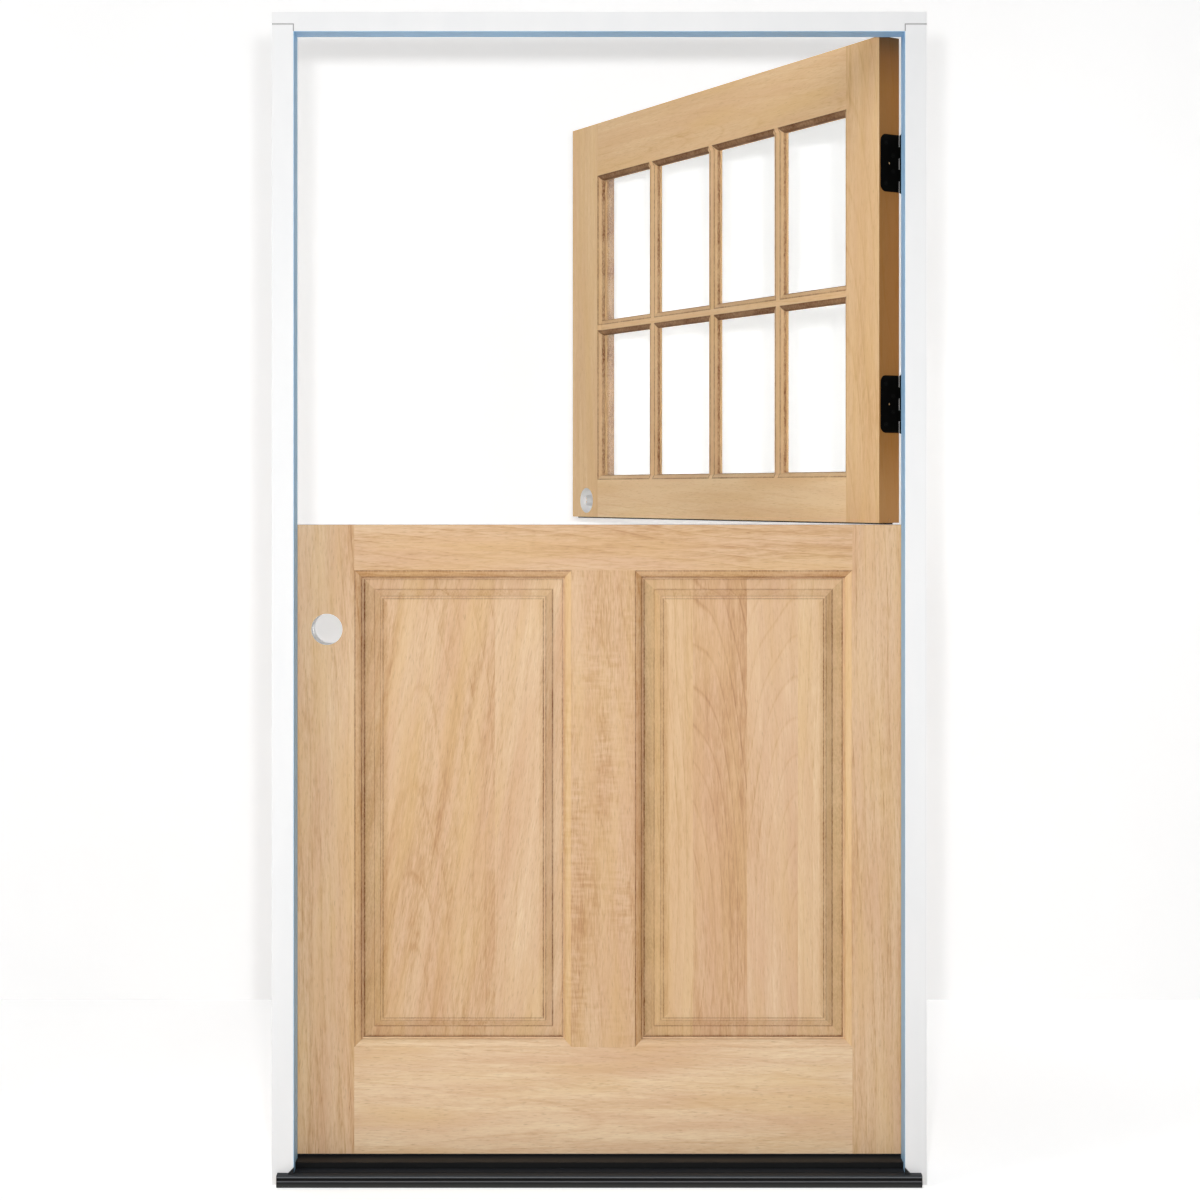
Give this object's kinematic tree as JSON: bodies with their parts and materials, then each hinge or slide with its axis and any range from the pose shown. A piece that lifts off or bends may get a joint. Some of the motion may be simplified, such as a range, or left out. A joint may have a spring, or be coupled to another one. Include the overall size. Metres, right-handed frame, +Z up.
{
  "type": "dutch stable door",
  "caption": "Dutch stable door in its frame: glazed upper leaf and raised-panel lower leaf swing inwards on butt hinges over a metal sill.",
  "frame": {"origin": "on the floor, at the middle of the doorway, in the plane of the jambs' outside edges", "axes": "+Z up, +X towards the hinge side, +Y into the room, so the outside looks towards -Y"},
  "size_m": [1.127, 1.0287, 2.018],
  "materials": {
    "leaf_wood": "unfinished pale hardwood, sanded",
    "frame_paint": "white painted timber",
    "sill_wood": "sealed timber base",
    "sill_metal": "dark anodised extrusion",
    "sill_cap_metal": "dark bronze cap",
    "hinge_black": "black satin steel",
    "bright_steel": "zinc plated",
    "seal_rubber": "matt black seal",
    "glass": "clear"
  },
  "bodies": {
    "frame": {"head_jamb": "frame_paint", "hinge_jamb": "frame_paint", "strike_jamb": "frame_paint", "head_seal": "seal_rubber", "hinge_seal": "seal_rubber", "strike_seal": "seal_rubber", "sill_base": "sill_wood", "sill_tread": "sill_metal", "sill_cap": "sill_cap_metal", "sill_corner_pads": "seal_rubber", "frame_screws": "bright_steel", "jamb_hinge_leaf_1": "hinge_black", "jamb_hinge_leaf_2": "hinge_black", "jamb_hinge_leaf_3": "hinge_black", "jamb_hinge_leaf_4": "hinge_black", "hinge_pin_1": "hinge_black", "hinge_pin_2": "hinge_black", "hinge_pin_3": "hinge_black", "hinge_pin_4": "hinge_black", "jamb_hinge_screws": "hinge_black"},
    "lower_leaf": {"lower_hinge_stile": "leaf_wood", "lower_lock_stile": "leaf_wood", "lower_top_rail": "leaf_wood", "lower_bottom_rail": "leaf_wood", "lower_mullion": "leaf_wood", "left_panel": "leaf_wood", "right_panel": "leaf_wood", "door_sweep": "seal_rubber", "door_hinge_leaf_1": "hinge_black", "door_hinge_leaf_2": "hinge_black", "lower_hinge_screws": "hinge_black", "lower_dowels": "leaf_wood"},
    "upper_leaf": {"upper_hinge_stile": "leaf_wood", "upper_lock_stile": "leaf_wood", "upper_top_rail": "leaf_wood", "upper_bottom_rail": "leaf_wood", "cross_bar": "leaf_wood", "upper_bar_1": "leaf_wood", "upper_bar_2": "leaf_wood", "upper_bar_3": "leaf_wood", "lower_bar_1": "leaf_wood", "lower_bar_2": "leaf_wood", "lower_bar_3": "leaf_wood", "upper_pane_1": "glass", "upper_pane_2": "glass", "upper_pane_3": "glass", "upper_pane_4": "glass", "lower_pane_1": "glass", "lower_pane_2": "glass", "lower_pane_3": "glass", "lower_pane_4": "glass", "upper_row_beads": "leaf_wood", "lower_row_beads": "leaf_wood", "meeting_seal": "seal_rubber", "door_hinge_leaf_3": "hinge_black", "door_hinge_leaf_4": "hinge_black", "upper_hinge_screws": "hinge_black", "upper_dowels": "leaf_wood"}
  },
  "joints": [
    {"name": "lower_leaf_swing", "type": "hinge", "parent": "frame", "child": "lower_leaf", "pos_m": [0.537, 0.099, 0.58625], "axis": [0, 0, -1], "range_deg": [0, 170]},
    {"name": "upper_leaf_swing", "type": "hinge", "parent": "frame", "child": "upper_leaf", "pos_m": [0.537, 0.099, 1.5595], "axis": [0, 0, -1], "range_deg": [-59, 111]}
  ]
}
